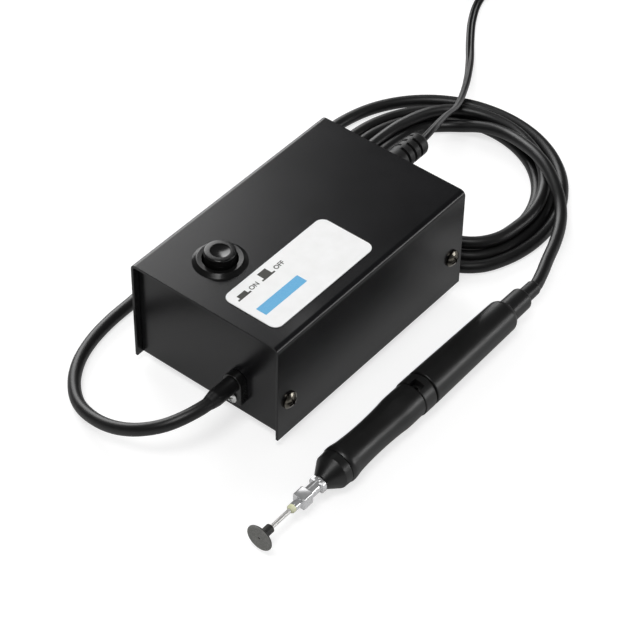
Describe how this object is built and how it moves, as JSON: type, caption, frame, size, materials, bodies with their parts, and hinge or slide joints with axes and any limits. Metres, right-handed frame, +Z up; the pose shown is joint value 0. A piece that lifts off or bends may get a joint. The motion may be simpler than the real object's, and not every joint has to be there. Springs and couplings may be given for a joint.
{
  "type": "vacuum pick up pen",
  "caption": "Bench vacuum pick-up tool: folded black steel pump box with push switch, coiled air hose, and a slim hand pen with finger vent, metal needle hub and rubber suction pad.",
  "frame": {"origin": "on the table, below the middle of the pump box", "axes": "+Z up, +Y from the front panel with the hose outlet towards the rear, +X to the right of the front panel, towards the pen"},
  "size_m": [0.1795, 0.3083, 0.0474],
  "materials": {
    "black_paint": "semi-gloss",
    "dark_nickel": "dark nickel plate",
    "black_rubber": "satin",
    "grey_rubber": "matte",
    "white_label": "printed film",
    "black_gloss": "semi-gloss",
    "black_plastic": "satin",
    "white_plastic": "moulded",
    "zinc_steel": "zinc plate",
    "core_iron": "laminated",
    "copper": "enamelled wire",
    "brass": "turned",
    "chrome": "polished",
    "bead_resin": "clear sealing resin"
  },
  "bodies": {
    "pump_unit": {"cover": "black_paint", "chassis": "black_paint", "cover_screws": "dark_nickel", "feet": "black_rubber", "label_plate": "white_label", "switch_bezel": "black_gloss", "switch_nut": "zinc_steel", "switch_body": "black_plastic", "switch_terminals": "brass", "switch_spring": "zinc_steel", "outlet_block": "black_plastic", "outlet_screw": "chrome", "outlet_nipple": "brass", "outlet_sleeve": "black_rubber", "cord_bushing": "black_rubber", "pump_base": "zinc_steel", "pump_grommets": "black_rubber", "pump_screws": "zinc_steel", "magnet_core": "core_iron", "core_screws": "zinc_steel", "coil_bobbin": "white_plastic", "coil_winding": "copper", "armature_pin": "chrome", "diaphragm": "black_rubber", "clamp_plate": "zinc_steel", "clamp_screws": "zinc_steel", "pump_chamber": "white_plastic", "valve_flaps": "black_rubber", "chamber_cover": "white_plastic", "chamber_screws": "zinc_steel", "suction_tube": "black_rubber", "supply_wires": "black_rubber", "switch_wire": "white_plastic", "nose_cone": "black_plastic", "nose_seal": "black_rubber", "pen_core": "black_plastic", "grip": "black_plastic", "vent_collar": "black_plastic", "barrel": "black_plastic", "tail_plug": "black_plastic", "tail_nipple": "brass", "tail_sleeve": "black_rubber", "hose_front": "black_rubber", "hose_coil": "black_rubber", "hose_lead": "black_rubber", "cord_lead": "black_rubber", "cord_coil": "black_rubber", "cord_tie": "black_rubber", "cord_tail": "black_rubber", "plug_body": "black_rubber", "plug_blades": "chrome"},
    "button": {"switch_button": "black_gloss"},
    "armature": {"armature_arm": "zinc_steel", "armature_magnet": "core_iron", "diaphragm_stud": "chrome"},
    "nozzle": {"needle_hub": "chrome", "needle_bead": "bead_resin", "needle_tube": "chrome"},
    "pad": {"suction_pad": "grey_rubber"}
  },
  "joints": [
    {"name": "switch_press", "type": "slide", "parent": "pump_unit", "child": "button", "axis": [0, 0, -1], "range_m": [0, 0.0028], "stiffness_N_per_m": 400, "springref_m": -0.002, "deforming": ["switch_spring"]},
    {"name": "armature_swing", "type": "hinge", "parent": "pump_unit", "child": "armature", "pos_m": [-0.003, -0.008, 0.0215], "axis": [1, 0, 0], "range_deg": [-2, 2], "stiffness_Nm_per_rad": 0.5, "deforming": ["diaphragm"]},
    {"name": "nozzle_pull", "type": "slide", "parent": "pump_unit", "child": "nozzle", "axis": [0, -1, 0], "range_m": [0, 0.01]},
    {"name": "pad_pull", "type": "slide", "parent": "nozzle", "child": "pad", "axis": [0, -1, 0], "range_m": [0, 0.006]}
  ]
}
